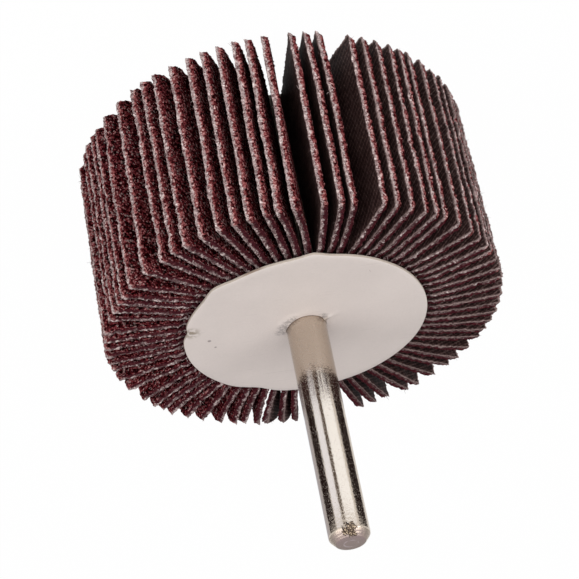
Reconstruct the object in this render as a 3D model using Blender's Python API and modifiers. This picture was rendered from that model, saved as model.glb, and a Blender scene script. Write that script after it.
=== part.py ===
"""Mounted flap wheel, 60 x 30 mm, on a 6 mm spindle.

Abrasive cloth flaps stand fanned round a cast resin core, with their roots set in it.
A card disc covers each side of the core, the smaller one at the rear. The spindle's root
is held in the core, and its free end points up. The wheel stands on its rear disc, whose
outer face is at Z = 0, and the spindle's axis is the Z axis.
"""

from math import copysign, cos, exp, radians, sin, tanh
from random import Random

import bmesh
import bpy
from mathutils import Matrix, Vector

MM = 0.001

# Flaps, with angles in degrees, counterclockwise seen from the spindle's end
WHEEL_RADIUS = 30.0 * MM
FLAP_WIDTH = 30.5 * MM
FLAP_THICKNESS = 1.0 * MM
FLAP_COUNT = 73
FIRST_ROOT_ANGLE = 2.4
ROOT_DEPTH = 2.5 * MM
TIP_LEAN = 3.5
LEAN_POWER = 1.2
TIP_UNEVENNESS = 0.2 * MM
TIP_SEED = 7
RADIAL_STEPS = 4
WIDTH_STEPS = 2

# The flaps' bottom ends lag their top ends by a twist that differs round the wheel
MEAN_TWIST = 0.55
TWIST_SWING = 1.55
TWIST_PEAK = 200.0
TWIST_STEEPNESS = 1.8

# Extra opening between a flap's tip and the next one's, where the fan is parted
# or bunched, and how far round the wheel the neighbours make room for it
TIP_PARTINGS = {
    2: 2.5, 3: 2.5, 4: 5.0, 5: 1.5, 8: 2.0, 9: 2.0, 10: 2.0, 11: 1.0, 12: -1.0,
    15: -0.5, 16: -1.0, 20: 2.5, 23: 2.5, 25: 2.0, 26: 2.0, 28: 1.5, 29: 2.0,
    40: -1.5, 43: 1.5, 44: 1.0, 45: -1.5, 46: -1.0, 49: -0.5, 50: 4.5, 51: -1.0,
    52: 0.5, 53: 3.5, 55: -1.0, 59: 1.0, 60: 1.0, 63: 3.0, 64: 3.5, 65: 1.0,
    66: -1.0, 69: 3.0,
}
PARTING_REACH = 25.0

# Resin core
CORE_RADIUS = 15.5 * MM
CORE_PROUD = 0.1 * MM
CORE_FACETS = 2 * FLAP_COUNT
REAR_WALL = 3.0 * MM

# Cover discs
DISC_RADIUS = 18.3 * MM
REAR_DISC_RADIUS = 15.0 * MM
DISC_THICKNESS = 0.4 * MM
DISC_FACETS = 120

# Bumps and flats along the edge of the spindle-side disc: angle, half width, rise
DISC_EDGE_FLAWS = (
    (-44.0, 7.0, 0.75 * MM),
    (-92.0, 5.0, 0.65 * MM),
    (-7.0, 4.0, -0.45 * MM),
    (66.0, 9.0, -0.8 * MM),
)

# Spindle
SPINDLE_RADIUS = 3.0 * MM
SPINDLE_FREE_LENGTH = 36.0 * MM
TIP_CHAMFER = 0.9 * MM
TIP_CHAMFER_HEIGHT = 1.1 * MM
FLATS_WIDTH = 4.6 * MM
FLATS_HEIGHT = 14.0 * MM
SPINDLE_FACETS = 48

# Clearances
SEAT_GAP = 0.3 * MM
SPINDLE_GAP = 0.3 * MM

# Heights above the rear disc's outer face
CORE_BOTTOM = DISC_THICKNESS + SEAT_GAP
FLAP_BOTTOM = CORE_BOTTOM + CORE_PROUD
FLAP_TOP = FLAP_BOTTOM + FLAP_WIDTH
CORE_TOP = FLAP_TOP + CORE_PROUD
FRONT_DISC_BOTTOM = CORE_TOP + SEAT_GAP
WHEEL_TOP = FRONT_DISC_BOTTOM + DISC_THICKNESS
SPINDLE_TOP = WHEEL_TOP + SPINDLE_FREE_LENGTH
SPINDLE_BOTTOM = CORE_BOTTOM + REAR_WALL
FLATS_TOP = SPINDLE_BOTTOM + FLATS_HEIGHT

ROOT_RADIUS = CORE_RADIUS - ROOT_DEPTH
FLAP_PITCH = 360.0 / FLAP_COUNT
CUT_MARGIN = 1.0 * MM
MERGE_DISTANCE = 1e-6
SMOOTH_ANGLE = 30.0


def clear_scene():
    for old in list(bpy.data.objects):
        bpy.data.objects.remove(old, do_unlink=True)


def new_collection(name, hidden=False):
    collection = bpy.data.collections.new(name)
    bpy.context.scene.collection.children.link(collection)
    collection.hide_render = hidden
    return collection


def new_material(name, color, roughness, metallic=0.0):
    material = bpy.data.materials.new(name)
    material.use_nodes = True
    shader = material.node_tree.nodes["Principled BSDF"]
    shader.inputs["Base Color"].default_value = (*color, 1.0)
    shader.inputs["Roughness"].default_value = roughness
    shader.inputs["Metallic"].default_value = metallic
    return material


def new_object(name, mesh, collection, material=None):
    obj = bpy.data.objects.new(name, mesh)
    collection.objects.link(obj)
    if material:
        mesh.materials.append(material)
    return obj


def object_from_bmesh(name, shape, collection, material=None):
    bmesh.ops.recalc_face_normals(shape, faces=shape.faces)
    mesh = bpy.data.meshes.new(name)
    shape.to_mesh(mesh)
    shape.free()
    return new_object(name, mesh, collection, material)


def turned(name, profile, facets, collection, material=None):
    """A solid of revolution about Z: profile holds (radius, height), top to bottom."""
    shape = bmesh.new()
    points = [shape.verts.new((radius, 0.0, height)) for radius, height in profile]
    for upper, lower in zip(points, points[1:]):
        shape.edges.new((upper, lower))
    mesh = bpy.data.meshes.new(name)
    shape.to_mesh(mesh)
    shape.free()
    obj = new_object(name, mesh, collection, material)
    screw = obj.modifiers.new("turn", "SCREW")
    screw.axis = "Z"
    screw.steps = facets
    screw.render_steps = facets
    screw.use_merge_vertices = True
    screw.merge_threshold = MERGE_DISTANCE
    return obj


def as_cutter(obj):
    obj.hide_render = True
    obj.display_type = "WIRE"
    return obj


def boolean(obj, other, operation):
    modifier = obj.modifiers.new(f"{operation.lower()} {other.name}", "BOOLEAN")
    modifier.operation = operation
    modifier.solver = "EXACT"
    modifier.object = other


def bake(obj):
    """Turns the modifiers' result into the object's mesh, with its round walls smooth."""
    graph = bpy.context.evaluated_depsgraph_get()
    mesh = bpy.data.meshes.new_from_object(obj.evaluated_get(graph))
    obj.modifiers.clear()
    obj.data = mesh
    mesh.shade_smooth()
    mesh.set_sharp_from_angle(angle=radians(SMOOTH_ANGLE))


def turn_between(angle, start):
    """The signed turn from one angle to the other, within half a turn."""
    return (angle - start + 180.0) % 360.0 - 180.0


def tip_shift(base_angle):
    """How far a flap's tip stands off its even place, beside the fan's partings."""
    shift = 0.0
    for flap, opening in TIP_PARTINGS.items():
        parting_angle = FIRST_ROOT_ANGLE + TIP_LEAN + (flap + 0.5) * FLAP_PITCH
        turn = turn_between(base_angle, parting_angle)
        side = copysign(1.0, turn)
        shift += 0.5 * opening * side * exp(-abs(turn) / PARTING_REACH)
    return shift


def flap_point(flap, tip_radius, across, along):
    """A point on a flap's middle surface: across runs from root to tip, along runs
    from the flap's bottom edge to its top edge, both from 0 to 1."""
    root_angle = FIRST_ROOT_ANGLE + flap * FLAP_PITCH
    tip_angle = root_angle + TIP_LEAN
    swing = cos(radians(tip_angle - TWIST_PEAK))
    twist = MEAN_TWIST + TWIST_SWING * tanh(TWIST_STEEPNESS * swing)
    tip_angle += tip_shift(tip_angle) - twist * (1.0 - along)
    bend = across**LEAN_POWER
    angle = radians(root_angle + (tip_angle - root_angle) * bend)
    radius = ROOT_RADIUS + (tip_radius - ROOT_RADIUS) * across
    height = FLAP_BOTTOM + FLAP_WIDTH * along
    return Vector((radius * cos(angle), radius * sin(angle), height))


def flap_sheets(collection):
    """All the flaps as bent sheets, thickened to closed plates."""
    sheets = bmesh.new()
    chance = Random(TIP_SEED)
    for flap in range(FLAP_COUNT):
        tip_radius = WHEEL_RADIUS - TIP_UNEVENNESS * chance.random()
        grid = bmesh.ops.create_grid(
            sheets, x_segments=RADIAL_STEPS, y_segments=WIDTH_STEPS, size=0.5
        )
        for vert in grid["verts"]:
            vert.co = flap_point(flap, tip_radius, vert.co.x + 0.5, vert.co.y + 0.5)
    obj = object_from_bmesh("flap_sheets", sheets, collection)
    thickness = obj.modifiers.new("cloth thickness", "SOLIDIFY")
    thickness.thickness = FLAP_THICKNESS
    thickness.offset = 0.0
    return as_cutter(obj)


def flats_cutter(name, half_width, top, bottom, collection):
    """Two blocks that leave a flat on each side of a round bar."""
    blocks = bmesh.new()
    depth = SPINDLE_RADIUS
    for side in (-1.0, 1.0):
        centre = Vector((side * (half_width + depth / 2.0), 0.0, (top + bottom) / 2.0))
        size = Vector((depth, 4.0 * SPINDLE_RADIUS, top - bottom))
        place = Matrix.Translation(centre) @ Matrix.Diagonal(size.to_4d())
        bmesh.ops.create_cube(blocks, size=1.0, matrix=place)
    return as_cutter(object_from_bmesh(name, blocks, collection))


def spindle(parts, cutters, material):
    obj = turned(
        "spindle",
        (
            (0.0, SPINDLE_TOP),
            (SPINDLE_RADIUS - TIP_CHAMFER, SPINDLE_TOP),
            (SPINDLE_RADIUS, SPINDLE_TOP - TIP_CHAMFER_HEIGHT),
            (SPINDLE_RADIUS, SPINDLE_BOTTOM),
            (0.0, SPINDLE_BOTTOM),
        ),
        SPINDLE_FACETS,
        parts,
        material,
    )
    flats = flats_cutter(
        "spindle_flats", FLATS_WIDTH / 2.0, FLATS_TOP, SPINDLE_BOTTOM - CUT_MARGIN, cutters
    )
    boolean(obj, flats, "DIFFERENCE")
    return obj


def core_bore(cutters):
    """The space that the spindle's root takes in the core: its own form, grown by a gap."""
    bore_radius = SPINDLE_RADIUS + SPINDLE_GAP
    bore_bottom = SPINDLE_BOTTOM - SPINDLE_GAP
    obj = turned(
        "core_bore",
        (
            (0.0, CORE_TOP + CUT_MARGIN),
            (bore_radius, CORE_TOP + CUT_MARGIN),
            (bore_radius, bore_bottom),
            (0.0, bore_bottom),
        ),
        SPINDLE_FACETS,
        cutters,
    )
    flats = flats_cutter(
        "bore_flats",
        FLATS_WIDTH / 2.0 + SPINDLE_GAP,
        FLATS_TOP - SPINDLE_GAP,
        bore_bottom - CUT_MARGIN,
        cutters,
    )
    boolean(obj, flats, "DIFFERENCE")
    return as_cutter(obj)


def flap_pack(parts, cutters, material):
    """The resin core with every flap's root set in it."""
    obj = turned(
        "flap_pack",
        (
            (0.0, CORE_TOP),
            (CORE_RADIUS, CORE_TOP),
            (CORE_RADIUS, CORE_BOTTOM),
            (0.0, CORE_BOTTOM),
        ),
        CORE_FACETS,
        parts,
        material,
    )
    boolean(obj, flap_sheets(cutters), "UNION")
    boolean(obj, core_bore(cutters), "DIFFERENCE")
    return obj


def edge_radius(radius, angle, flaws):
    """The disc's radius at an angle, with a smooth bump or flat at each flaw."""
    for centre, half_width, rise in flaws:
        turn = turn_between(angle, centre)
        radius += rise * exp(-((turn / half_width) ** 2))
    return radius


def cover_disc(name, disc_radius, bottom, flaws, parts, material):
    shape = bmesh.new()
    rim = bmesh.ops.create_circle(shape, cap_ends=True, segments=DISC_FACETS, radius=1.0)
    for step, vert in enumerate(rim["verts"]):
        angle = step * 360.0 / DISC_FACETS
        radius = edge_radius(disc_radius, angle, flaws)
        vert.co = (radius * cos(radians(angle)), radius * sin(radians(angle)), bottom)
    raised = bmesh.ops.extrude_face_region(shape, geom=shape.faces[:])
    upper = [item for item in raised["geom"] if isinstance(item, bmesh.types.BMVert)]
    bmesh.ops.translate(shape, verts=upper, vec=(0.0, 0.0, DISC_THICKNESS))
    return object_from_bmesh(name, shape, parts, material)


def shank_side_disc(parts, cutters, material):
    obj = cover_disc(
        "shank_side_disc", DISC_RADIUS, FRONT_DISC_BOTTOM, DISC_EDGE_FLAWS, parts, material
    )
    hole_radius = SPINDLE_RADIUS + SPINDLE_GAP
    hole = turned(
        "disc_hole",
        (
            (0.0, WHEEL_TOP + CUT_MARGIN),
            (hole_radius, WHEEL_TOP + CUT_MARGIN),
            (hole_radius, FRONT_DISC_BOTTOM - CUT_MARGIN),
            (0.0, FRONT_DISC_BOTTOM - CUT_MARGIN),
        ),
        SPINDLE_FACETS,
        cutters,
    )
    boolean(obj, as_cutter(hole), "DIFFERENCE")
    return obj


def build():
    clear_scene()
    parts = new_collection("flap_wheel")
    cutters = new_collection("cutters", hidden=True)
    steel = new_material("bright_steel", (0.62, 0.60, 0.58), 0.22, metallic=1.0)
    cloth = new_material("abrasive_cloth", (0.12, 0.035, 0.035), 0.85)
    card = new_material("white_card", (0.64, 0.59, 0.56), 0.6)
    spindle(parts, cutters, steel)
    flap_pack(parts, cutters, cloth)
    shank_side_disc(parts, cutters, card)
    cover_disc("rear_disc", REAR_DISC_RADIUS, 0.0, (), parts, card)
    for obj in parts.objects:
        bake(obj)


build()
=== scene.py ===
# %% [markdown]
# # A mounted flap wheel
#
# A flap wheel is a sanding tool for a drill. Stiff abrasive cloth flaps stand fanned
# round a resin core, a card disc covers each side, and a steel shank sticks out.
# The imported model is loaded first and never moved. Every piece made here is fitted to it,
# in metres, with the shank along Z and the wheel standing on its rear disc.

# %% Load the frame
from math import atan2, cos, degrees, exp, hypot, pi, radians, sin, tanh
from random import Random

import bmesh
import bpy
from mathutils import Matrix, Vector, noise


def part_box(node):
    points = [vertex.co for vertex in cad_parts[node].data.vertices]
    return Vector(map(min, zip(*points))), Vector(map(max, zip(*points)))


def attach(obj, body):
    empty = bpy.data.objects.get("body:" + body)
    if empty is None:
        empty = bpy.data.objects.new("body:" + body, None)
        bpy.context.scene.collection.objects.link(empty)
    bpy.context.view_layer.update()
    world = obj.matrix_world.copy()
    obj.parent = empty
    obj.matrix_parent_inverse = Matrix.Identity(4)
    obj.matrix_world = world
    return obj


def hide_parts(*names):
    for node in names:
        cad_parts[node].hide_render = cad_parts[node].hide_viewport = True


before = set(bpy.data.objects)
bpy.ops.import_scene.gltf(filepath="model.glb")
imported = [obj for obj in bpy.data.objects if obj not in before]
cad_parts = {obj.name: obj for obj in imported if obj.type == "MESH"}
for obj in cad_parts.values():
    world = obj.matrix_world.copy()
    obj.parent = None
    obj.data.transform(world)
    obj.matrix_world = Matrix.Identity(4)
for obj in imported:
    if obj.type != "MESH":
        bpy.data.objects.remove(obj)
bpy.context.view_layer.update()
MM = 0.001
pack_low, pack_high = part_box("flap_pack")
spindle_low, spindle_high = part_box("spindle")
print("nodes:", ", ".join(sorted(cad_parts)))

# %% [markdown]
# ## Shader maths
#
# A pattern in a shader is arithmetic on numbers and colours. Chains of Math nodes are
# hard to read, so one small class lets a socket be used in Python expressions: each
# operator adds the Math node that it stands for. A builder class makes every other node.


# %% A socket that does arithmetic
class Value:
    """A number that varies over a surface, as the output of a node."""

    def __init__(self, shading, socket):
        self.shading = shading
        self.socket = socket

    def math(self, operation, *values):
        return self.shading.node(
            "ShaderNodeMath", {"operation": operation}, dict(enumerate(values))
        )

    def __add__(self, other):
        return self.math("ADD", self, other)

    __radd__ = __add__

    def __sub__(self, other):
        return self.math("SUBTRACT", self, other)

    def __rsub__(self, other):
        return self.math("SUBTRACT", other, self)

    def __mul__(self, other):
        return self.math("MULTIPLY", self, other)

    __rmul__ = __mul__

    def __gt__(self, other):
        return self.math("GREATER_THAN", self, other)

    def __lt__(self, other):
        return self.math("LESS_THAN", self, other)

    def sine(self):
        return self.math("SINE", self)

    def size(self):
        return self.math("ABSOLUTE", self)

    def larger(self, other):
        return self.math("MAXIMUM", self, other)

    def smaller(self, other):
        return self.math("MINIMUM", self, other)

    def step(self, start, end):
        """Rises smoothly from 0 at start to 1 at end."""
        settings = {"interpolation_type": "SMOOTHSTEP"}
        sockets = {"Value": self, "From Min": start, "From Max": end}
        return self.shading.node("ShaderNodeMapRange", settings, sockets)


# %% A builder for one material
class Shading:
    """Adds nodes to a new material and joins them to its Principled shader."""

    def __init__(self, name):
        self.material = bpy.data.materials.new(name)
        self.material.use_nodes = True
        self.tree = self.material.node_tree
        self.surface = self.tree.nodes["Principled BSDF"]

    def fill(self, node, sockets):
        for key, value in sockets.items():
            if isinstance(value, Value):
                self.tree.links.new(value.socket, node.inputs[key])
            else:
                node.inputs[key].default_value = value

    def node(self, kind, settings=None, sockets=None, output=0):
        made = self.tree.nodes.new(kind)
        for name, value in (settings or {}).items():
            if name == "stops":
                self.set_stops(made.color_ramp, value)
            else:
                setattr(made, name, value)
        self.fill(made, sockets or {})
        return Value(self, made.outputs[output])

    @staticmethod
    def set_stops(ramp, stops):
        while len(ramp.elements) < len(stops):
            ramp.elements.new(1.0)
        for element, (position, color) in zip(ramp.elements, stops):
            element.position = position
            element.color = (*color, 1.0)

    def ramp(self, value, stops):
        return self.node("ShaderNodeValToRGB", {"stops": stops}, {"Fac": value})

    def mix(self, factor, first, second):
        """Goes from the first colour at factor 0 to the second at factor 1."""
        sockets = {0: factor, 6: self.paint(first), 7: self.paint(second)}
        return self.node("ShaderNodeMix", {"data_type": "RGBA"}, sockets, 2)

    @staticmethod
    def paint(color):
        return color if isinstance(color, Value) else (*color, 1.0)

    def noise(self, place, scale, detail=2.0, rough=0.5):
        sockets = {"Vector": place, "Scale": scale, "Detail": detail, "Roughness": rough}
        return self.node("ShaderNodeTexNoise", None, sockets)

    def cells(self, place, scale, output):
        sockets = {"Vector": place, "Scale": scale}
        return self.node("ShaderNodeTexVoronoi", None, sockets, output)

    def stretch(self, place, scale):
        return self.node("ShaderNodeMapping", None, {"Vector": place, "Scale": scale})

    def part(self, place, axis):
        return self.node("ShaderNodeSeparateXYZ", None, {0: place}, axis)

    def bump(self, height, distance):
        sockets = {"Height": height, "Distance": distance, "Strength": 1.0}
        return self.node("ShaderNodeBump", None, sockets)

    def finish(self, **sockets):
        self.fill(self.surface, {k.replace("_", " "): v for k, v in sockets.items()})
        return self.material


def object_place(shading):
    """Object coordinates in millimetres."""
    place = shading.node("ShaderNodeTexCoord", None, None, "Object")
    return shading.stretch(place, (1.0 / MM, 1.0 / MM, 1.0 / MM))


# %% [markdown]
# ## Camera
#
# The photo shows the wheel from its shank's side, with the shank pointing down at the
# viewer. Here the wheel stands with its shank up, so the camera looks down on it from
# the front and is rolled nearly half a turn, and the picture is the same.
# A camera can be aimed by a constraint, or its turn worked out once from the direction
# it looks in. The second keeps the scene free of helpers.

# %% The camera
CAMERA_AIM = Vector((1.31, 0.24, 25.12)) * MM
CAMERA_DISTANCE = 319.5 * MM
CAMERA_AZIMUTH = 7.19
CAMERA_ELEVATION = 32.23
CAMERA_ROLL = 168.45
CAMERA_LENS = 132.6


def direction(azimuth, elevation):
    """Points from the wheel towards a place: azimuth 0 is the front, 90 is the right."""
    level = cos(radians(elevation))
    turn = radians(azimuth)
    return Vector((sin(turn) * level, -cos(turn) * level, sin(radians(elevation))))


def aimed(name, data, place, aim, roll=0.0):
    obj = bpy.data.objects.new(name, data)
    bpy.context.scene.collection.objects.link(obj)
    turn = (aim - place).to_track_quat("-Z", "Y").to_matrix().to_4x4()
    spin = Matrix.Rotation(radians(roll), 4, "Z")
    obj.matrix_world = Matrix.Translation(place) @ turn @ spin
    return obj


camera_data = bpy.data.cameras.new("camera")
camera_data.lens = CAMERA_LENS
camera_data.clip_start = 10.0 * MM
camera_back = direction(CAMERA_AZIMUTH, CAMERA_ELEVATION)
camera_place = CAMERA_AIM + CAMERA_DISTANCE * camera_back
camera = aimed("camera", camera_data, camera_place, CAMERA_AIM, CAMERA_ROLL)
bpy.context.scene.camera = camera
bpy.context.scene.view_settings.view_transform = "Standard"
print("camera", CAMERA_DISTANCE / MM, "mm away")

# %% [markdown]
# ## Floor and light
#
# The photo is a studio shot on pure white. The floor's colour gives that white to the
# camera and to reflections, mixed with its own lit surface so that the wheel keeps a
# faint shadow. Light comes from the camera's side, through two large soft boxes and a
# small one beside the camera, and from a pale surround. The large ones stand low, because
# the rim is lit strongly and the card disc only softly.

# %% The floor
FLOOR_SIZE = 6.0
FLOOR_WHITE = 0.985
FLOOR_COLOR = (0.86, 0.86, 0.86)


def seen_directly(shading):
    """1 for what the camera, a mirror or a glass sees, and 0 for light that spreads."""
    seen = [
        shading.node("ShaderNodeLightPath", None, None, ray)
        for ray in ("Is Camera Ray", "Is Glossy Ray", "Is Transmission Ray")
    ]
    return seen[0].larger(seen[1]).larger(seen[2])


def floor_material():
    shading = Shading("floor_paper")
    white = shading.node("ShaderNodeEmission", None, {"Color": (1.0, 1.0, 1.0, 1.0)})
    sockets = {0: seen_directly(shading) * FLOOR_WHITE, 2: white}
    joined = shading.node("ShaderNodeMixShader", None, sockets)
    shading.tree.links.new(shading.surface.outputs[0], joined.socket.node.inputs[1])
    output = shading.tree.nodes["Material Output"]
    shading.tree.links.new(joined.socket, output.inputs["Surface"])
    return shading.finish(Base_Color=(*FLOOR_COLOR, 1.0), Roughness=0.9)


floor_shape = bmesh.new()
bmesh.ops.create_grid(floor_shape, x_segments=1, y_segments=1, size=FLOOR_SIZE / 2.0)
floor_mesh = bpy.data.meshes.new("floor")
floor_shape.to_mesh(floor_mesh)
floor_shape.free()
floor_mesh.materials.append(floor_material())
floor = bpy.data.objects.new("floor", floor_mesh)
bpy.context.scene.collection.objects.link(floor)
print("floor", FLOOR_SIZE, "m wide")

# %% The surround and the soft boxes
SURROUND_LIGHT = 0.42
SOFT_BOXES = (
    # name by its side in the picture, azimuth, elevation, distance, width, watts, colour
    ("left_soft_box", 48.0, 26.0, 0.60, 0.85, 3.35, (1.0, 0.98, 0.96)),
    ("right_soft_box", -38.0, 22.0, 0.60, 0.52, 2.20, (1.0, 0.98, 0.95)),
    ("front_soft_box", 3.0, 32.0, 0.70, 0.40, 0.7, (1.0, 0.98, 0.96)),
)

world = bpy.data.worlds.new("surround")
bpy.context.scene.world = world
world.use_nodes = True
background = world.node_tree.nodes["Background"]
background.inputs["Color"].default_value = (1.0, 0.99, 0.98, 1.0)
background.inputs["Strength"].default_value = SURROUND_LIGHT
for name, azimuth, elevation, distance, width, watts, color in SOFT_BOXES:
    light = bpy.data.lights.new(name, "AREA")
    light.shape = "SQUARE"
    light.size = width
    light.energy = watts
    light.color = color
    place = CAMERA_AIM + distance * direction(azimuth, elevation)
    aimed(name, light, place, CAMERA_AIM).visible_camera = False
print("soft boxes:", len(SOFT_BOXES))

# %% [markdown]
# ## Panels for the bright steel
#
# A polished bar shows what stands round it. In the photo the shank has a pale stripe on
# each side of a thin dark one, between two black bands. Photographers make such stripes
# with white and black panels close round the object. The panels here stand in a ring, with
# one more overhead. Only reflections see them, so they cast no shadows and light nothing
# but what shines.

# %% The ring of panels
PANEL_RADIUS = 62.0 * MM
PANEL_HEIGHT = 46.0 * MM
PANEL_STEP = 4.0
PANELS = (
    # name, from and to in degrees right of the camera as the picture shows it, brightness
    ("far_left_panel", -178.0, -112.0, (0.62, 0.62, 0.68)),
    ("left_black_panel", -110.0, -60.0, (0.03, 0.02, 0.02)),
    ("left_white_panel", -56.0, -22.0, (1.36, 1.46, 1.68)),
    ("thin_dark_panel", -20.0, -4.0, (0.16, 0.13, 0.11)),
    ("right_white_panel", -2.0, 54.0, (1.58, 1.69, 1.83)),
    ("right_black_panel", 68.0, 126.0, (0.03, 0.02, 0.02)),
)
OVERHEAD_HEIGHT = 0.5
OVERHEAD_WIDTH = 1.7
OVERHEAD_GREY = (0.54, 0.47, 0.55)


def glow_material(name, color):
    material = bpy.data.materials.new(name)
    material.use_nodes = True
    glow = material.node_tree.nodes.new("ShaderNodeEmission")
    glow.inputs["Color"].default_value = (*color, 1.0)
    output = material.node_tree.nodes["Material Output"]
    material.node_tree.links.new(glow.outputs[0], output.inputs["Surface"])
    return material


def only_reflected(name, shape, color):
    """A stage panel that is seen in reflections and by nothing else."""
    mesh = bpy.data.meshes.new(name)
    shape.to_mesh(mesh)
    shape.free()
    mesh.materials.append(glow_material(name, color))
    panel = bpy.data.objects.new(name, mesh)
    bpy.context.scene.collection.objects.link(panel)
    panel.visible_camera = False
    panel.visible_diffuse = False
    panel.visible_transmission = False
    panel.visible_shadow = False


for name, start, end, color in PANELS:
    fence = bmesh.new()
    foot = PANEL_RADIUS * direction(CAMERA_AZIMUTH - start, 0.0)
    post = [fence.verts.new(foot + Vector((0.0, 0.0, z))) for z in (0.0, PANEL_HEIGHT)]
    fence.edges.new(post)
    bmesh.ops.spin(
        fence,
        geom=fence.verts[:] + fence.edges[:],
        cent=(0.0, 0.0, 0.0),
        axis=(0.0, 0.0, -1.0),
        angle=radians(end - start),
        steps=max(2, round((end - start) / PANEL_STEP)),
    )
    only_reflected(name, fence, color)

overhead = bmesh.new()
bmesh.ops.create_grid(overhead, x_segments=1, y_segments=1, size=OVERHEAD_WIDTH / 2.0)
bmesh.ops.translate(overhead, verts=overhead.verts, vec=(0.0, 0.0, OVERHEAD_HEIGHT))
only_reflected("overhead_panel", overhead, OVERHEAD_GREY)
print("panels:", len(PANELS) + 1)

# %% [markdown]
# ## Abrasive cloth
#
# One sheet has three looks. Its front is a coat of angular maroon grain in resin, with a
# few crystal faces painted pale as glints. Its back is dark twill. Its cut edge shows both
# layers: pale frayed cotton at the back and broken pinkish grain at the front, with painted
# shade along the flaps' sides. The flaps carry their own flat coordinates in an attribute:
# millimetres from the core, millimetres along the wheel and depth below the grain. The
# pattern is drawn in those, so it follows each bend, and one material covers the three looks.

# %% Cloth colours and layers
FLAP_THICKNESS = 1.0 * MM
SHEET_MM = FLAP_THICKNESS / MM
GRAIN_MM = 0.56
GRAINS_PER_MM = 3.6
# How far a sheet runs out from its hidden root and along the wheel, in millimetres
SHEET_REACH = 15.3
SHEET_WIDTH = 30.5
FRAYED = 0.28
CLOTH_RELIEF = 0.20 * MM
# Faces this near the sheet's front or back are coat or weave, and the rest is the cut
FACE_DEPTH = 0.02
SHEET_NAME = "sheet"
NUMBER_NAME = "sheet_number"
# Each flap starts the patterns this far from the one before, in millimetres
PATTERN_STEP = (7.3, 3.1, 1.7)
# Threads as waves per millimetre, away from the axis and along the wheel
WARP = (0.49, 0.93)
WEFT = (1.32, -0.68)
# Where the tip's wear starts and is full, in millimetres short of the tip. Farther from
# the tip the cut edge carries painted shade.
WORN_LIT_FROM = 1.2
WORN_LIT_FULL = 0.4
# Y less X, in millimetres, where the painted shade right of the shank starts and is full
PAINTED_SHADE_FROM = 16.0
PAINTED_SHADE_FULL = 30.0


def near_rim(shading, place, wander):
    """1 beside the sheet's free sides, with a ragged border, and 0 farther in."""
    reach = shading.part(place, 0)
    level = shading.part(place, 1)
    inset = (SHEET_REACH - reach).smaller(level).smaller(SHEET_WIDTH - level)
    return 1.0 - (inset + (wander - 0.5) * FRAYED * 2.0).step(0.0, FRAYED)


def grain_face(shading, place, pattern):
    """Colour, roughness and height of the coat of grain."""
    spot = shading.cells(pattern, GRAINS_PER_MM, "Color")
    chance = shading.part(spot, 0)
    other = shading.part(spot, 1)
    hollow = shading.cells(pattern, GRAINS_PER_MM, "Distance")
    fine = shading.noise(pattern, 7.0, 2.0)
    cloud = shading.noise(pattern, 0.35, 2.0)
    tone = chance * 0.7 + fine * 0.5 + cloud * 0.3 - hollow * 0.5 - 0.12
    tone = tone + near_rim(shading, place, fine) * 0.16
    color = shading.ramp(
        tone,
        (
            (0.0, (0.003, 0.0004, 0.0006)),
            (0.28, (0.016, 0.0015, 0.002)),
            (0.48, (0.095, 0.010, 0.014)),
            (0.70, (0.215, 0.052, 0.058)),
            (0.94, (0.50, 0.27, 0.265)),
        ),
    )
    # Painted glints: a few grains are coloured pale, as highlights on crystal faces
    painted_glint = (other + fine * 0.15) > 0.97
    color = shading.mix(painted_glint * 0.5, color, (0.52, 0.36, 0.35))
    rough = 0.62 - painted_glint * 0.3
    height = (1.0 - hollow * 1.4) * (0.3 + other * 0.7) + fine * 0.4
    return color, rough, height


def thread_wave(shading, place, waves, wander):
    """A wave across one set of threads, from 0 between them to 1 on top."""
    along = shading.part(place, 0) * (2.0 * pi * waves[0])
    across = shading.part(place, 1) * (2.0 * pi * waves[1])
    return (along + across + wander).sine() * 0.5 + 0.5


def woven_back(shading, place, pattern):
    """Colour and height of the cloth's back: two sets of threads with pits between."""
    wander = shading.noise(pattern, 0.8, 2.0) * 2.6 + shading.noise(pattern, 2.6, 2.0) * 2.0
    warp = thread_wave(shading, place, WARP, wander)
    weft = thread_wave(shading, place, WEFT, wander)
    rib = thread_wave(shading, place, tuple(2.0 * part for part in WARP), wander)
    fuzz = shading.noise(pattern, 5.0, 3.0, 0.6)
    cloud = shading.noise(pattern, 0.25, 2.0)
    blotch = shading.noise(pattern, 1.1, 2.0)
    height = warp * 0.35 + weft * 0.20 + rib * 0.45
    tone = height * 0.46 + fuzz * 0.90 + cloud * 0.25 + blotch * 0.40 - 0.56
    color = shading.ramp(
        tone,
        (
            (0.0, (0.004, 0.0013, 0.0012)),
            (0.38, (0.024, 0.0115, 0.011)),
            (0.65, (0.080, 0.048, 0.045)),
            (1.0, (0.25, 0.180, 0.168)),
        ),
    )
    frayed = near_rim(shading, place, fuzz)
    color = shading.mix(frayed * 0.8, color, (0.34, 0.25, 0.24))
    return color, height + fuzz * 0.4


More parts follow.
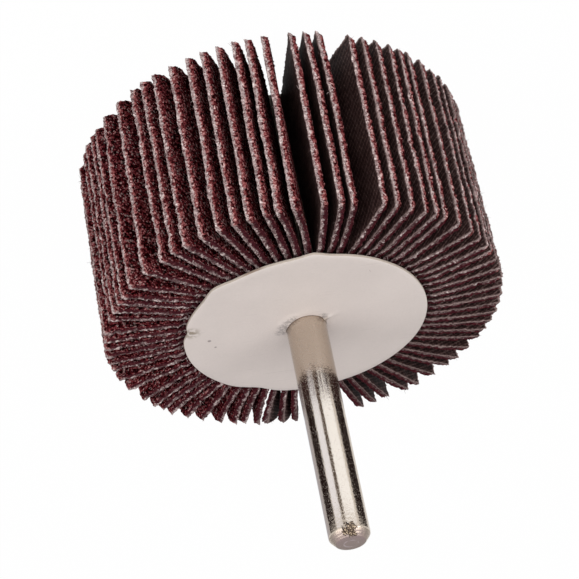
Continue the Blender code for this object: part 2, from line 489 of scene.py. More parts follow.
def cut_edge(shading, place, pattern, depth):
    """Colour and height of the cut: frayed cotton behind, broken grain in front.

    The grain is broken open along the tip, where it wears. Along the sides the cut carries
    painted shade, with dark grain and dull cotton, and the cotton is soiled in patches. The
    flaps right of the shank as the camera sees them carry more painted shade."""
    worn_lit_tip = shading.part(place, 0).step(SHEET_REACH - WORN_LIT_FROM, SHEET_REACH - WORN_LIT_FULL)
    crumbs = shading.noise(pattern, 2.8, 3.0, 0.7)
    fibres = shading.noise(pattern, 3.6, 3.0, 0.75)
    patch = shading.noise(pattern, 0.8, 2.0)
    soiled = 1.0 - shading.noise(pattern, 1.2, 3.0, 0.7).step(0.44, 0.58)
    wander = (crumbs - 0.5) * 1.1 + (patch - 0.5) * 0.8
    border = (depth + wander).step(GRAIN_MM - 0.08, GRAIN_MM + 0.12)
    spot = shading.part(shading.cells(pattern, GRAINS_PER_MM, "Color"), 0)
    # Painted shade: the cut's grain is darker towards the coat and along the sides
    shade = (1.0 - depth.step(0.0, 0.40)) * 0.26 + (1.0 - worn_lit_tip) * 0.12
    stone = shading.ramp(
        spot * 0.5 + crumbs * 0.9 - 0.15 - shade,
        (
            (0.16, (0.005, 0.001, 0.001)),
            (0.36, (0.060, 0.008, 0.010)),
            (0.54, (0.190, 0.048, 0.050)),
            (0.68, (0.30, 0.125, 0.122)),
            (0.86, (0.60, 0.42, 0.405)),
        ),
    )
    cotton = shading.ramp(
        fibres * 1.5 + spot * 0.2 - 0.30,
        (
            (0.18, (0.016, 0.006, 0.006)),
            (0.36, (0.155, 0.092, 0.093)),
            (0.56, (0.420, 0.320, 0.320)),
            (0.82, (0.82, 0.72, 0.70)),
        ),
    )
    # Painted shade on the flaps right of the shank as the camera sees them
    wheel = object_place(shading)
    painted_shade_right = (shading.part(wheel, 1) - shading.part(wheel, 0)).step(PAINTED_SHADE_FROM, PAINTED_SHADE_FULL)
    # Painted shade on the side cuts away from the tip, on cotton and grain alike
    cotton = shading.mix((1.0 - worn_lit_tip) * 0.08, cotton, (0.10, 0.055, 0.060))
    cotton = shading.mix(painted_shade_right * 0.75, cotton, (0.070, 0.038, 0.038))
    cotton = shading.mix((1.0 - worn_lit_tip * 0.6) * soiled * 0.85, cotton, (0.060, 0.022, 0.026))
    stone = shading.mix((1.0 - worn_lit_tip) * 0.84, stone, (0.052, 0.012, 0.017))
    color = shading.mix(border, stone, cotton)
    height = crumbs * (1.0 - border) + fibres * border
    return color, height


def cloth_material():
    shading = Shading("abrasive_cloth")
    settings = {"attribute_type": "GEOMETRY", "attribute_name": SHEET_NAME}
    place = shading.node("ShaderNodeAttribute", settings, None, "Vector")
    settings = {"attribute_type": "GEOMETRY", "attribute_name": NUMBER_NAME}
    number = shading.node("ShaderNodeAttribute", settings, None, "Vector")
    sockets = {0: number, 1: PATTERN_STEP, 2: place}
    pattern = shading.node("ShaderNodeVectorMath", {"operation": "MULTIPLY_ADD"}, sockets)
    depth = shading.part(place, 2)
    grain_color, grain_rough, grain_height = grain_face(shading, place, pattern)
    back_color, back_height = woven_back(shading, place, pattern)
    edge_color, edge_height = cut_edge(shading, place, pattern, depth)
    front = depth < FACE_DEPTH
    back = depth > SHEET_MM - FACE_DEPTH
    color = shading.mix(back, shading.mix(front, edge_color, grain_color), back_color)
    height = grain_height * front + back_height * back * 0.6
    height = height + edge_height * (1.0 - front - back) * 1.3
    rough = 0.9 - front * (0.9 - grain_rough)
    normal = shading.bump(height, CLOTH_RELIEF)
    return shading.finish(
        Base_Color=color,
        Roughness=rough,
        Specular_IOR_Level=0.0,
        Coat_Weight=back * 0.2,
        Coat_Roughness=0.5,
        Normal=normal,
    )


cloth = cloth_material()
print("cloth nodes:", len(cloth.node_tree.nodes))

# %% [markdown]
# ## Where each flap stands
#
# The roots stand evenly round the core. The tips lean to one side, and the fan is parted
# in some places and bunched in others, as the photo shows. The sizes are the same as in
# the solid model, and each tip's angle is read off it, so that each detailed flap lies
# where its plain solid does. A few flaps also curl or lean by listed degrees.

# %% The fan's sizes
WHEEL_RADIUS = 30.0 * MM
ROOT_RADIUS = 13.0 * MM
FLAP_COUNT = 73
FLAP_PITCH = 360.0 / FLAP_COUNT
FIRST_ROOT_ANGLE = 2.4
TIP_LEAN = 3.5
LEAN_POWER = 1.2
TIP_UNEVENNESS = 0.2 * MM
TIP_SEED = 7
MEAN_TWIST = 0.55
TWIST_SWING = 1.55
TWIST_PEAK = 200.0
TWIST_STEEPNESS = 1.8
FLAP_BOTTOM = 0.8 * MM
FLAP_WIDTH = 30.5 * MM
print("flap pitch", round(FLAP_PITCH, 2), "degrees")

# %% Flaps that curl or lean
# Flaps are counted from 0. Rear edges that stand off a flap's straight line, in degrees
REAR_CURLS = {51: 1.0, 52: 1.0, 64: -1.0, 65: -1.0}
REAR_CURL_POWER = 3
# Front edges that stand off it, in degrees
FRONT_CURLS = {12: -0.2, 13: -0.4, 14: -0.5, 15: -2.8, 16: -1.7, 17: -0.8}
# Flaps that lean just below their front edge, in degrees: towards the next one, or
# towards the one before where the value is negative
FRONT_LEANS = {
    8: -0.8,
    9: -1.2,
    10: -1.4,
    11: -1.3,
    12: -1.1,
    13: -0.8,
    14: 0.3,
    15: 5.8,
    16: 4.0,
    17: 1.0,
}
LEAN_STEEPNESS = 25
LEAN_SPREAD_POWER = 0.5
print("flaps that curl or lean:", len(REAR_CURLS.keys() | FRONT_CURLS.keys() | FRONT_LEANS.keys()))

# %% Tip angles from the solid model
# How near the corner both ends of an edge lie, and how close in degrees two edges of
# one tip can be
CORNER_ZONE = 0.7 * MM
SAME_TIP = 0.5
# How many flaps the list of tips may be turned by to fit the even places
MOST_TURN = 3


def turn_between(angle, start):
    """The turn from start to angle, from -180 to 180 degrees."""
    return (angle - start + 180.0) % 360.0 - 180.0


def front_tip_edges():
    """The angle of every CAD edge that crosses a flap's thickness at its front tip corner."""
    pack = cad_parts["flap_pack"]
    places = [pack.matrix_world @ vertex.co for vertex in pack.data.vertices]
    for edge in pack.data.edges:
        first, second = (places[index] for index in edge.vertices)
        low = min(first.z, second.z)
        near = min(hypot(first.x, first.y), hypot(second.x, second.y))
        if low > FLAP_BOTTOM + FLAP_WIDTH - CORNER_ZONE and near > WHEEL_RADIUS - CORNER_ZONE:
            middle = (first + second) / 2.0
            yield degrees(atan2(middle.y, middle.x)) % 360.0


def flap_tips():
    """The angle of each flap's front tip in the CAD, in the flaps' own order."""
    tips = []
    for angle in sorted(front_tip_edges()):
        if not tips or angle - tips[-1] > SAME_TIP:
            tips.append(angle)
    even = [FIRST_ROOT_ANGLE + TIP_LEAN + flap * FLAP_PITCH for flap in range(FLAP_COUNT)]

    def misfit(start):
        turned = tips[start:] + tips[:start]
        return sum(abs(turn_between(tip, place)) for tip, place in zip(turned, even))

    start = min(range(-MOST_TURN, MOST_TURN + 1), key=misfit)
    return tips[start:] + tips[:start]


FLAP_TIPS = flap_tips()
print("flap tips read off the CAD:", len(FLAP_TIPS))


# %% One flap's place
class Flap:
    """One flap's place: turns flat sheet coordinates into a place on the wheel."""

    def __init__(self, number, tip_radius):
        self.number = number
        self.root_angle = FIRST_ROOT_ANGLE + number * FLAP_PITCH
        self.even_tip = self.root_angle + TIP_LEAN
        self.shift = turn_between(FLAP_TIPS[number], self.even_tip)
        swing = tanh(TWIST_STEEPNESS * cos(radians(self.even_tip - TWIST_PEAK)))
        self.twist = MEAN_TWIST + TWIST_SWING * swing
        self.tip_radius = tip_radius

    def place(self, radius, height, offset):
        """Radius from the axis, height above the floor, offset towards the cloth side."""
        across = (radius - ROOT_RADIUS) / (self.tip_radius - ROOT_RADIUS)
        along = (height - FLAP_BOTTOM) / FLAP_WIDTH
        bend = max(across, 0.0) ** LEAN_POWER
        behind = (1.0 - min(along, 1.0)) ** REAR_CURL_POWER
        curl = REAR_CURLS.get(self.number, 0.0) * behind
        below = 1.0 - min(max(along, 0.0), 1.0) ** LEAN_STEEPNESS
        under = FRONT_CURLS.get(self.number, 0.0) * along
        under += FRONT_LEANS.get(self.number, 0.0) * below
        under *= max(across, 0.0) ** LEAN_SPREAD_POWER
        lean = TIP_LEAN + self.shift - self.twist * (1.0 - along) + curl
        angle = radians(self.root_angle + lean * bend + under) + offset / radius
        return Vector((radius * cos(angle), radius * sin(angle), height))


chance = Random(TIP_SEED)
flaps = [
    Flap(number, WHEEL_RADIUS - TIP_UNEVENNESS * chance.random())
    for number in range(FLAP_COUNT)
]
print("flaps:", len(flaps))

# %% [markdown]
# ## Flap shape
#
# Each flap starts as a flat grid. Two lines of edges along its free sides are cut finely,
# so that the cut edge can be ragged while the middle keeps few faces. The sheet is then
# solidified, the cut is divided through its thickness, and every vertex remembers its flat
# coordinates before it is moved to the wheel. The corners are rounded a little, the cut
# wanders, threads fray and grain breaks away, by noise that differs for each flap.

# %% The flat sheet
SHEET_START = 14.6 * MM
BORDER = 0.35 * MM
COLUMNS = 8
ROWS = 19
EDGE_CUTS = 6
DEPTH_CUTS = 4


def spread_evenly(step, steps, length, border_at_start):
    """Even steps with one narrow border step at the free end or ends."""
    inner = length - BORDER * (2 if border_at_start else 1)
    if border_at_start:
        if step == 0:
            return 0.0
        if step == steps:
            return length
        return BORDER + inner * (step - 1) / (steps - 2)
    return length if step == steps else inner * step / (steps - 1)


def rim_distance(point, length):
    """How far a point lies from the flat sheet's nearest free side."""
    return min(length - point.x, point.y, FLAP_WIDTH - point.y)


def flat_sheet(length):
    """A flap laid flat: X from the core, Y along the wheel, Z its depth."""
    sheet = bmesh.new()
    bmesh.ops.create_grid(sheet, x_segments=COLUMNS, y_segments=ROWS, size=0.5)
    for vert in sheet.verts:
        column = round((vert.co.x + 0.5) * COLUMNS)
        row = round((vert.co.y + 0.5) * ROWS)
        vert.co.x = spread_evenly(column, COLUMNS, length, False)
        vert.co.y = spread_evenly(row, ROWS, FLAP_WIDTH, True)
    lines = []
    for edge in sheet.edges:
        first, second = (rim_distance(vert.co, length) for vert in edge.verts)
        level = abs(first - second) < 0.01 * MM
        if level and first < 1.1 * BORDER and edge.calc_length() > 1.5 * BORDER:
            lines.append(edge)
    bmesh.ops.subdivide_edges(sheet, edges=lines, cuts=EDGE_CUTS)
    bmesh.ops.solidify(sheet, geom=sheet.faces[:], thickness=FLAP_THICKNESS)
    lowest = min(vert.co.z for vert in sheet.verts)
    bmesh.ops.translate(sheet, verts=sheet.verts, vec=(0.0, 0.0, -lowest))
    through = [
        edge
        for edge in sheet.edges
        if abs(edge.verts[0].co.z - edge.verts[1].co.z) > FLAP_THICKNESS / 2.0
    ]
    bmesh.ops.subdivide_edges(sheet, edges=through, cuts=DEPTH_CUTS, use_grid_fill=True)
    return sheet


sample = flat_sheet(WHEEL_RADIUS - SHEET_START)
print("faces of a flat flap:", len(sample.faces))
sample.free()

# %% Rounded corners, ragged cuts and gentle waves
CORNER_RADIUS = 0.20 * MM
GRAIN_CORNER_RADIUS = 1.1 * MM
# The cuts start this far out, so that once they are ragged they end near the plain sides
TIP_EXCESS = 0.33 * MM
REAR_EXCESS = 0.60 * MM
FRONT_EXCESS = 0.34 * MM
BEVEL = 0.10 * MM
CUT_WANDER = 0.16 * MM
FRAY = 0.34 * MM
CRUMBLE = 0.34 * MM
NOTCH = 0.9 * MM
FACE_RELIEF = 0.14 * MM
CARD_REACH = 18.4 * MM
THINNED_RIM = 0.97
WAVE = 0.22 * MM
print("cotton frays by up to", round(FRAY / MM, 2), "mm")


def rounded_corner(x, y, length, radius):
    """Draws a point near an outer corner in to a rounded one."""
    for side, corner_y in ((-1.0, radius), (1.0, FLAP_WIDTH - radius)):
        reach = Vector((x - (length - radius), (y - corner_y) * side))
        if reach.x > 0.0 and reach.y > 0.0:
            scale = max(reach.x, reach.y) / max(reach.length, 1e-9)
            reach *= scale
            return length - radius + reach.x, corner_y + reach.y * side
    return x, y


def corner_at(depth, corner_radius):
    """The outer corner's radius at a depth: large in the grain, small in the cotton."""
    share = depth / FLAP_THICKNESS
    return corner_radius * share + GRAIN_CORNER_RADIUS * (1.0 - share)


def outward(x, y, length):
    """The direction out of the sheet's nearest free side."""
    reach = Vector((max(0.0, x - length + BORDER), 0.0))
    reach.y = max(0.0, y - FLAP_WIDTH + BORDER) - max(0.0, BORDER - y)
    return reach.normalized() if reach.length > 0.0 else Vector((0.0, 0.0))


def lumps(spot, per_mm):
    """0 on the top of a lump and up to 1 between lumps."""
    return min(1.0, 1.3 * noise.voronoi(spot * per_mm)[0][0])


def raggedness(x, y, depth, seed):
    """How far the cut falls short of a clean line, in metres."""
    spot = Vector((x / MM, y / MM, depth / MM)) + seed
    wander = (noise.noise(spot * 0.4) + 0.5) * CUT_WANDER
    bite = max(0.0, noise.noise(spot * 0.7 + Vector((9.0, 0.0, 0.0))) - 0.35)
    if depth / MM < GRAIN_MM:
        ragged = CRUMBLE * lumps(spot, 1.7)
    else:
        ragged = FRAY * lumps(spot, 2.2)
    return wander + ragged + NOTCH * bite


def shaped_point(flap, point, length, corner_radius, seed):
    """Moves a point of the flat sheet to its place on the wheel, with its wear."""
    rim = rim_distance(point, length)
    radius = corner_at(point.z, corner_radius)
    x, y = rounded_corner(point.x, point.y, length, radius)
    offset = point.z - FLAP_THICKNESS / 2.0
    if rim < 0.5 * BORDER:
        out = outward(point.x, point.y, length)
        clear_of_card = min(1.0, max(0.0, (SHEET_START + x - CARD_REACH) / MM))
        side_excess = FRONT_EXCESS if out.y > 0.0 else REAR_EXCESS
        inset = raggedness(x, y, point.z, seed)
        bevel = BEVEL * (1.0 - point.z / FLAP_THICKNESS)
        x -= out.x * (inset + bevel - TIP_EXCESS)
        y -= out.y * (inset + bevel - side_excess * clear_of_card)
        offset *= THINNED_RIM
    spot = Vector((x / MM, y / MM, point.z / MM)) + seed
    if rim < 1.5 * BORDER:
        offset += FACE_RELIEF * noise.noise(spot * 2.3)
    slow = Vector((x / MM * 0.08, y / MM * 0.10, 0.0)) + seed
    offset += WAVE * max(0.0, x / length) * noise.noise(slow)
    return flap.place(SHEET_START + x, FLAP_BOTTOM + y, offset)


# %% [markdown]
# ## Loose fibres and crumbs
#
# Under a glass the cut edge is a fringe: short cotton fibres curl out of the cloth and
# crumbs of grain cling to the coat. Hair particles could draw the fibres, but they don't
# export as a mesh. Thin spikes with three sides, each leaning its own way, and small
# stones with a few faces give the same fringe and stay cheap.

# %% Fibres and crumbs on a cut edge
FIBRES = 60
FIBRE_LENGTH = 0.36 * MM
FIBRE_WIDTH = 0.07 * MM
CRUMBS = 140
CRUMB_SIZE = 0.14 * MM
print("fibres and crumbs on a flap:", FIBRES + CRUMBS)


def rim_spot(chance, length):
    """A random place on the sheet's free sides, and the way out of the sheet there."""
    run = chance.uniform(0.0, 2.0 * length + FLAP_WIDTH)
    if run < length:
        return run, 0.0, Vector((0.0, -1.0))
    if run < length + FLAP_WIDTH:
        return length, run - length, Vector((1.0, 0.0))
    return run - length - FLAP_WIDTH, FLAP_WIDTH, Vector((0.0, 1.0))


def add_fibre(shape, layer, flap, chance, length, corner_radius):
    """A spike of three sides that leans its own way, rooted in the cotton of a cut edge."""
    x, y, out = rim_spot(chance, length)
    depth = chance.uniform(GRAIN_MM, SHEET_MM) * MM
    x, y = rounded_corner(x, y, length, corner_at(depth, corner_radius))
    x, y = x - out.x * CUT_WANDER * 2.0, y - out.y * CUT_WANDER * 2.0
    root = flap.place(SHEET_START + x, FLAP_BOTTOM + y, depth - FLAP_THICKNESS / 2.0)
    ahead = flap.place(
        SHEET_START + x + out.x * MM,
        FLAP_BOTTOM + y + out.y * MM,
        depth - FLAP_THICKNESS / 2.0,
    )
    aim = (ahead - root).normalized()
    stray = Vector([chance.gauss(0.0, 0.7) for _ in range(3)])
    reach = FIBRE_LENGTH * chance.uniform(0.4, 1.3)
    spike = bmesh.ops.create_cone(
        shape,
        cap_ends=True,
        segments=3,
        radius1=FIBRE_WIDTH / 2.0,
        radius2=FIBRE_WIDTH / 6.0,
        depth=1.0,
    )
    turn = aim.to_track_quat("Z", "Y").to_matrix()
    for vert in spike["verts"]:
        share = vert.co.z + 0.5
        side = turn @ Vector((vert.co.x, vert.co.y, 0.0))
        vert.co = root + side + (aim + stray * share) * reach * share
        vert[layer] = Vector((x / MM, y / MM, depth / MM))


def add_crumb(shape, layer, flap, chance, length, corner_radius):
    """A small angular stone that clings to the grain near a cut edge."""
    x, y, out = rim_spot(chance, length)
    inset = (0.10 + abs(chance.gauss(0.0, 0.35))) * MM
    depth = chance.uniform(0.1, 0.9) * GRAIN_MM * MM * (1.0 if inset < 0.3 * MM else 0.0)
    x, y = rounded_corner(x, y, length, corner_at(depth, corner_radius))
    x, y = x - out.x * inset, y - out.y * inset
    centre = flap.place(SHEET_START + x, FLAP_BOTTOM + y, depth - FLAP_THICKNESS / 2.0)
    size = CRUMB_SIZE * chance.uniform(0.5, 1.25)
    stone = bmesh.ops.create_icosphere(shape, subdivisions=1, radius=size)
    spot = Vector((x / MM, y / MM, 0.3 * GRAIN_MM))
    for vert in stone["verts"]:
        vert.co *= chance.uniform(0.65, 1.1)
        vert[layer] = spot + vert.co / MM * 0.5
        vert.co += centre


# %% The flaps
FIRST_SEED = 1000
# Each flap reads the noise this far from the one before, in millimetres
NOISE_STEP = Vector((37.0, 11.0, 5.0))
piece_collection = bpy.data.collections.new("flap_wheel")
bpy.context.scene.collection.children.link(piece_collection)


def new_piece(name, shape, material, node):
    """Makes a finished piece of a bmesh: it rides on the wheel and replaces a node."""
    mesh = bpy.data.meshes.new(name)
    shape.to_mesh(mesh)
    shape.free()
    mesh.materials.append(material)
    piece = bpy.data.objects.new(name, mesh)
    piece_collection.objects.link(piece)
    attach(piece, "root")
    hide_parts(node)
    return piece


def flap_piece(flap):
    chance = Random(FIRST_SEED + flap.number)
    seed = NOISE_STEP * flap.number
    length = flap.tip_radius - SHEET_START
    corner_radius = CORNER_RADIUS * chance.uniform(0.3, 1.3)
    shape = flat_sheet(length)
    layer = shape.verts.layers.float_vector.new(SHEET_NAME)
    for vert in shape.verts:
        vert[layer] = vert.co / MM
        vert.co = shaped_point(flap, vert.co, length, corner_radius, seed)
    for _ in range(FIBRES):
        add_fibre(shape, layer, flap, chance, length, corner_radius)
    for _ in range(CRUMBS):
        add_crumb(shape, layer, flap, chance, length, corner_radius)
    number_layer = shape.verts.layers.float.new(NUMBER_NAME)
    for vert in shape.verts:
        vert[number_layer] = flap.number
    bmesh.ops.triangulate(shape, faces=shape.faces)
    bmesh.ops.recalc_face_normals(shape, faces=shape.faces)
    name = f"flap_{flap.number + 1:02d}"
    return new_piece(name, shape, cloth, "flap_pack")


flap_pieces = [flap_piece(flap) for flap in flaps]
print("triangles in the flaps:", sum(len(piece.data.polygons) for piece in flap_pieces))

# %% [markdown]
# ## Resin core
#
# The flaps' roots are cast in a ring of resin, which shows only as a dark wall deep
# between them and under the edge of the card. A turned shape is a profile spun about the
# axis. Spinning is better than a plain cylinder because the profile can draw the wall in
# a little at both ends, as a casting is.

# %% The core
CORE_RADIUS = 15.3 * MM
CORE_FACETS = 2 * FLAP_COUNT
CORE_EDGE = 0.25 * MM


def resin_material():
    shading = Shading("cast_resin")
    place = object_place(shading)
    cloud = shading.noise(place, 0.5, 4.0)
    color = shading.ramp(cloud, ((0.3, (0.045, 0.026, 0.018)), (0.7, (0.16, 0.10, 0.065))))
    rough = 0.35 + cloud * 0.3
    normal = shading.bump(shading.noise(place, 1.6, 3.0), 0.1 * MM)
    return shading.finish(Base_Color=color, Roughness=rough, Normal=normal)


def spun(profile, facets):
    """A shape turned about Z from a profile of (radius, height) points."""
    shape = bmesh.new()
    points = [shape.verts.new((radius, 0.0, height)) for radius, height in profile]
    edges = [shape.edges.new(pair) for pair in zip(points, points[1:])]
    bmesh.ops.spin(
        shape,
        geom=points + edges,
        cent=(0.0, 0.0, 0.0),
        axis=(0.0, 0.0, 1.0),
        angle=2.0 * pi,
        steps=facets,
        use_merge=True,
    )
    bmesh.ops.remove_doubles(shape, verts=shape.verts, dist=1e-7)
    bmesh.ops.recalc_face_normals(shape, faces=shape.faces)
    return shape


core_bottom, core_top = pack_low.z, pack_high.z
core_shape = spun(
    (
        (0.0, core_bottom),
        (CORE_RADIUS - CORE_EDGE, core_bottom),
        (CORE_RADIUS, core_bottom + CORE_EDGE),
        (CORE_RADIUS, (core_bottom + core_top) / 2.0),
        (CORE_RADIUS, core_top - CORE_EDGE),
        (CORE_RADIUS - CORE_EDGE, core_top),
        (0.0, core_top),
    ),
    CORE_FACETS,
)
core = new_piece("resin_core", core_shape, resin_material(), "flap_pack")
print("core faces:", len(core.data.polygons))

# %% [markdown]
# ## Card discs
#
# Each side is covered by a disc punched from off-white card. The one by the shank has
# seen some handling: its edge is bumped out in two places and drawn in at two, it is
# lifted a little with a crease where the shank passes, and it carries a stain and two
# specks. Dark patches beside the shank are partly smudges and partly painted shade round
# its base and by the crease. A fine ring grid lets the card wave, and the faces of its
# cut edge are darker, as cut card is.

# %% Card material
CARD_WHITE = (0.690, 0.625, 0.595)
CARD_RELIEF = 0.03 * MM
# Marks are placed by degrees round the axis, then by millimetres from it
STAIN = (-8.0, 17.4)
STAIN_SIZE = 0.3
STAIN_SOFTNESS = 1.6
SPECKS = ((1.5, 14.5, 0.22), (9.7, 13.8, 0.13))
SPECK_SOFTNESS = 0.1
# Dark patches beside the shank, partly smudges and partly painted shade round its base and by the
# crease
SMUDGE_AND_SHADE_SPOTS = ((-52.0, 3.2), (-32.0, 3.35), (-11.0, 3.6), (10.0, 3.9), (-138.0, 3.3))
SMUDGE_AND_SHADE_SIZE = 0.35
SMUDGE_AND_SHADE_SOFTNESS = 0.8
SOILED_EDGE = (-64.0, 18.0)
SOILED_SIZE = 0.8
SOILED_SOFTNESS = 1.4


def spot_distance(shading, place, angle, radius):
    """Millimetres, seen from above, to a spot at an angle and a radius from the axis."""
    centre = (radius * cos(radians(angle)), radius * sin(radians(angle)), 0.0)
    sockets = {0: shading.stretch(place, (1.0, 1.0, 0.0)), 1: centre}
    return shading.node("ShaderNodeVectorMath", {"operation": "DISTANCE"}, sockets, 1)


def spot_mask(shading, place, angle, radius, size, soft):
    """1 inside a round spot of the disc and 0 a little outside it."""
    return 1.0 - spot_distance(shading, place, angle, radius).step(size, size + soft)


def card_material(name, marked):
    shading = Shading(name)
    place = object_place(shading)
    cloud = shading.noise(place, 0.12, 3.0)
    fibre = shading.noise(place, 3.0, 4.0, 0.6)
    dull = tuple(0.90 * part for part in CARD_WHITE)
    color = shading.ramp(cloud * 0.6 + fibre * 0.4, ((0.3, dull), (0.7, CARD_WHITE)))
    if marked:
        stain = spot_mask(shading, place, *STAIN, STAIN_SIZE, STAIN_SOFTNESS)
        stain = stain * shading.noise(place, 1.4, 3.0).step(0.38, 0.54)
        color = shading.mix(stain * 0.85, color, (0.24, 0.19, 0.13))
        for angle, radius, size in SPECKS:
            speck = spot_mask(shading, place, angle, radius, size, SPECK_SOFTNESS)
            color = shading.mix(speck * 0.7, color, (0.16, 0.12, 0.12))
        smudge_and_shade_patches = shading.noise(shading.stretch(place, (1.0, 1.6, 1.0)), 2.2, 4.0, 0.65)
        # Partly smudges, partly painted shade beside the shank and by the crease
        for spot in SMUDGE_AND_SHADE_SPOTS:
            smudge_and_shade = spot_mask(shading, place, *spot, SMUDGE_AND_SHADE_SIZE, SMUDGE_AND_SHADE_SOFTNESS)
            smudge_and_shade = smudge_and_shade * smudge_and_shade_patches.step(0.40, 0.54)
            color = shading.mix(smudge_and_shade * 0.62, color, (0.20, 0.18, 0.175))
    scratch = shading.noise(shading.stretch(place, (0.15, 2.6, 1.0)), 1.0, 2.0)
    scratch = scratch.step(0.68, 0.72)
    color = shading.mix(scratch * 0.22, color, (0.45, 0.40, 0.39))
    settings = {"attribute_type": "GEOMETRY", "attribute_name": "cut"}
    cut = shading.node("ShaderNodeAttribute", settings, None, "Fac")
    color = shading.mix(cut * 0.8, color, (0.40, 0.34, 0.28))
    if marked:
        soiled = spot_mask(shading, place, *SOILED_EDGE, SOILED_SIZE, SOILED_SOFTNESS) * cut
        color = shading.mix(soiled * 0.7, color, (0.20, 0.13, 0.09))
    rough = 0.46 + fibre * 0.12 + cut * 0.3
    normal = shading.bump(fibre + shading.noise(place, 0.6, 2.0) * 0.8, CARD_RELIEF)
    return shading.finish(Base_Color=color, Roughness=rough, Normal=normal)


# %% The discs' sizes
DISC_RADIUS = 18.3 * MM
REAR_DISC_RADIUS = 15.0 * MM
# The ring grid needs an inner edge, so the closed rear card has a pin mark there
PIN_MARK_RADIUS = 0.2 * MM
DISC_EDGE_FLAWS = (
    # degrees round the axis, half width in degrees, how far the edge stands out
    (-44.0, 7.0, 0.75 * MM),
    (-92.0, 5.0, 0.65 * MM),
    (-7.0, 4.0, -0.45 * MM),
    (66.0, 9.0, -0.8 * MM),
)
SPINDLE_RADIUS = 3.0 * MM
HOLE_GAP = 0.02 * MM
DISC_SPOKES = 180
DISC_RINGS = 14
CARD_WAVE = 0.05 * MM
WAVES_PER_MM = 0.16
LIP_RISE = 0.40 * MM
LIP_REACH = 0.55 * MM
LIP_ANGLE = -24.0
LIP_HALF_WIDTH = 38.0
LIP_LEAST = 0.15
CREASE_RISE = 0.18 * MM
CREASE_ANGLE = -152.0
CREASE_HALF_WIDTH = 7.0
CREASE_REACH = 1.4 * MM
EDGE_ROUND = 0.08 * MM
print("flaws in the card's edge:", len(DISC_EDGE_FLAWS))


# %% The shape of a disc
def hill(angle, centre, half_width):
    """1 at the centre angle, falling off smoothly to both sides."""
    return exp(-((turn_between(angle, centre) / half_width) ** 2))


def edge_radius(radius, angle, flaws):
    for centre, half_width, rise in flaws:
        radius += rise * hill(angle, centre, half_width)
    return radius


def lip_rise(angle, distance):
    """The card's lift beside the shank: higher on one side, with a crease to the other."""
    side = LIP_LEAST + (1.0 - LIP_LEAST) * hill(angle, LIP_ANGLE, LIP_HALF_WIDTH)
    lip = LIP_RISE * side * exp(-((distance / LIP_REACH) ** 2))
    crease = hill(angle, CREASE_ANGLE, CREASE_HALF_WIDTH) * exp(-distance / CREASE_REACH)
    return lip + CREASE_RISE * crease


def ring_grid(hole_radius, disc_radius, flaws, bottom, top, handled):
    """A ring of card with two faces: handled is 1 if it waves and lifts, 0 if flat."""
    shape = spun(((hole_radius, 0.0), (disc_radius, 0.0)), DISC_SPOKES)
    radial = [
        edge
        for edge in shape.edges
        if abs(edge.verts[0].co.length - edge.verts[1].co.length) > MM
    ]
    bmesh.ops.subdivide_edges(shape, edges=radial, cuts=DISC_RINGS, use_grid_fill=True)
    bmesh.ops.solidify(shape, geom=shape.faces[:], thickness=top - bottom)
    middle = sum(vert.co.z for vert in shape.verts) / len(shape.verts)
    for vert in shape.verts:
        upper = vert.co.z > middle
        distance = hypot(vert.co.x, vert.co.y)
        angle = atan2(vert.co.y, vert.co.x) * 180.0 / pi
        share = (distance - hole_radius) / (disc_radius - hole_radius)
        outer = edge_radius(disc_radius, angle, flaws)
        radius = hole_radius + (outer - hole_radius) * share
        spot = Vector((vert.co.x / MM, vert.co.y / MM, 0.0))
        rise = CARD_WAVE * noise.noise(spot * WAVES_PER_MM) * handled
        rise += lip_rise(angle, distance - hole_radius) * handled
        vert.co.x = radius * cos(radians(angle))
        vert.co.y = radius * sin(radians(angle))
        vert.co.z = (top if upper else bottom) + rise
    return shape


# %% The discs
def card_disc(name, node, hole_radius, disc_radius, flaws, material, handled):
    low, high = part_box(node)
    shape = ring_grid(hole_radius, disc_radius, flaws, low.z, high.z, handled)
    rim = [
        edge
        for edge in shape.edges
        if len(edge.link_faces) == 2 and edge.calc_face_angle(0.0) > radians(60.0)
    ]
    bmesh.ops.bevel(
        shape,
        geom=rim,
        offset=EDGE_ROUND,
        affect="EDGES",
        segments=2,
        profile=0.5,
        material=-1,
    )
    bmesh.ops.recalc_face_normals(shape, faces=shape.faces)
    cut = shape.verts.layers.float.new("cut")
    for face in shape.faces:
        if abs(face.normal.z) < 0.5:
            for vert in face.verts:
                vert[cut] = 1.0
        face.smooth = abs(face.normal.z) > 0.9
    return new_piece(name, shape, material, node)


front_card = card_disc(
    "shank_side_card",
    "shank_side_disc",
    SPINDLE_RADIUS + HOLE_GAP,
    DISC_RADIUS,
    DISC_EDGE_FLAWS,
    card_material("marked_card", True),
    1.0,
)
rear_card = card_disc(
    "rear_card",
    "rear_disc",
    PIN_MARK_RADIUS,
    REAR_DISC_RADIUS,
    (),
    card_material("plain_card", False),
    0.0,
)
print("card faces:", len(front_card.data.polygons), len(rear_card.data.polygons))

# %% [markdown]
# ## Shank
#
# The shank is drawn steel with a bright plating: nearly a mirror, with tiny pits, faint
# marks along its length, a fine matt speckle, turned rings on its chamfered end, a painted
# highlight on one ring of the end face and a scuff there. It reflects the card near the
# wheel and the studio farther out, so its form has to be truly round. It is spun from its
# profile with many steps and shaded smooth, and a narrow bevel softens its edges.

# %% Steel material
STEEL_COLOR = (0.570, 0.490, 0.410)
STEEL_RELIEF = 0.012 * MM
PITS_PER_MM = 2.1
# The scuff's middle, round the axis, from the axis and below the shank's end
SCUFF_ANGLE = -86.0
SCUFF_RADIUS = 2.8
SCUFF_DEPTH = 0.8
CHAMFER_FROM = 1.25
CHAMFER_FULL = 1.0
# Radius of the painted highlight on the end face, in millimetres
END_HIGHLIGHT_RADIUS = 1.0
END_DEPTH = 0.1


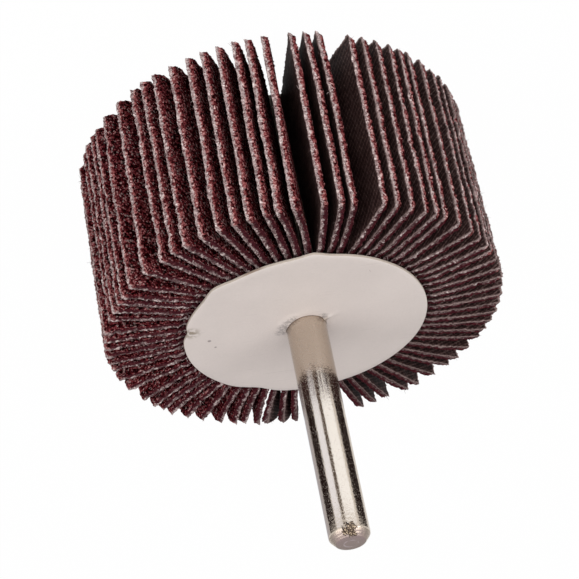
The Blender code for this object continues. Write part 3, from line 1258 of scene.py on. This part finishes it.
def steel_material():
    shading = Shading("bright_steel")
    place = object_place(shading)
    end_height = spindle_high.z / MM
    pits = shading.cells(place, PITS_PER_MM, "Distance").step(0.0, 0.16)
    rare = shading.part(shading.cells(place, PITS_PER_MM, "Color"), 0) > 0.72
    pits = 1.0 - (1.0 - pits) * rare
    peel = shading.noise(place, 3.0, 3.0, 0.6)
    matt = shading.noise(place, 5.6, 3.0, 0.75).step(0.55, 0.62)
    drawn = shading.noise(shading.stretch(place, (5.0, 5.0, 0.12)), 1.0, 3.0)
    height = shading.part(place, 2)
    chamfer = height.step(end_height - CHAMFER_FROM, end_height - CHAMFER_FULL)
    turn = radians(SCUFF_ANGLE)
    centre = (SCUFF_RADIUS * cos(turn), SCUFF_RADIUS * sin(turn), end_height - SCUFF_DEPTH)
    sockets = {0: place, 1: centre}
    gap = shading.node("ShaderNodeVectorMath", {"operation": "DISTANCE"}, sockets, 1)
    ragged = shading.noise(place, 4.5, 4.0, 0.65)
    uneven = shading.noise(place, 1.3, 2.0)
    scuff = 1.0 - (gap + (ragged - 0.5) * 2.2 + (uneven - 0.5) * 2.4).step(0.95, 1.10)
    dirt = shading.ramp(
        ragged,
        (
            (0.40, (0.008, 0.005, 0.003)),
            (0.52, (0.080, 0.043, 0.022)),
            (0.60, (0.52, 0.42, 0.29)),
        ),
    )
    color = shading.mix(scuff, STEEL_COLOR, dirt)
    color = shading.mix((1.0 - pits) * 0.5 + matt * 0.12, color, (0.20, 0.16, 0.13))
    # A painted highlight: a pale arc on one turned ring of the end face
    highlight_gap = (spot_distance(shading, place, 0.0, 0.0) - END_HIGHLIGHT_RADIUS).size()
    end = height > end_height - END_DEPTH
    color = shading.mix(end * 0.22, color, (0.28, 0.25, 0.24))
    ring = (1.0 - highlight_gap.step(0.05, 0.16)) * end
    ring = ring * shading.noise(place, 0.9, 1.0).step(0.40, 0.60)
    color = shading.mix(ring * 0.6, color, (0.86, 0.80, 0.78))
    rough = 0.05 + drawn * 0.05 + matt * 0.34 + scuff * 0.30 + chamfer * 0.28
    sockets = {"Vector": shading.stretch(place, (1.0, 1.0, 0.0)), "Scale": 1.1}
    settings = {"wave_type": "RINGS", "rings_direction": "SPHERICAL"}
    rings = shading.node("ShaderNodeTexWave", settings, sockets, 1)
    relief = peel * 1.4 + drawn * 0.5 + pits * 0.9 + chamfer * rings * 1.2
    normal = shading.bump(relief, STEEL_RELIEF)
    return shading.finish(
        Base_Color=color, Metallic=1.0 - scuff * 0.8, Roughness=rough, Normal=normal
    )


# %% The shank
TIP_CHAMFER = 0.9 * MM
TIP_CHAMFER_HEIGHT = 1.1 * MM
EDGE_SOFTNESS = 0.22 * MM
SHANK_FACETS = 96


def shank_piece():
    top, bottom = spindle_high.z, spindle_low.z
    shape = spun(
        (
            (0.0, top),
            (SPINDLE_RADIUS - TIP_CHAMFER, top),
            (SPINDLE_RADIUS, top - TIP_CHAMFER_HEIGHT),
            (SPINDLE_RADIUS, bottom),
            (0.0, bottom),
        ),
        SHANK_FACETS,
    )
    sharp = [edge for edge in shape.edges if edge.calc_face_angle(0.0) > radians(20.0)]
    bmesh.ops.bevel(
        shape,
        geom=sharp,
        offset=EDGE_SOFTNESS,
        affect="EDGES",
        segments=3,
        profile=0.5,
        material=-1,
    )
    for face in shape.faces:
        face.smooth = True
    return new_piece("shank", shape, steel_material(), "spindle")


shank = shank_piece()
print("shank faces:", len(shank.data.polygons))
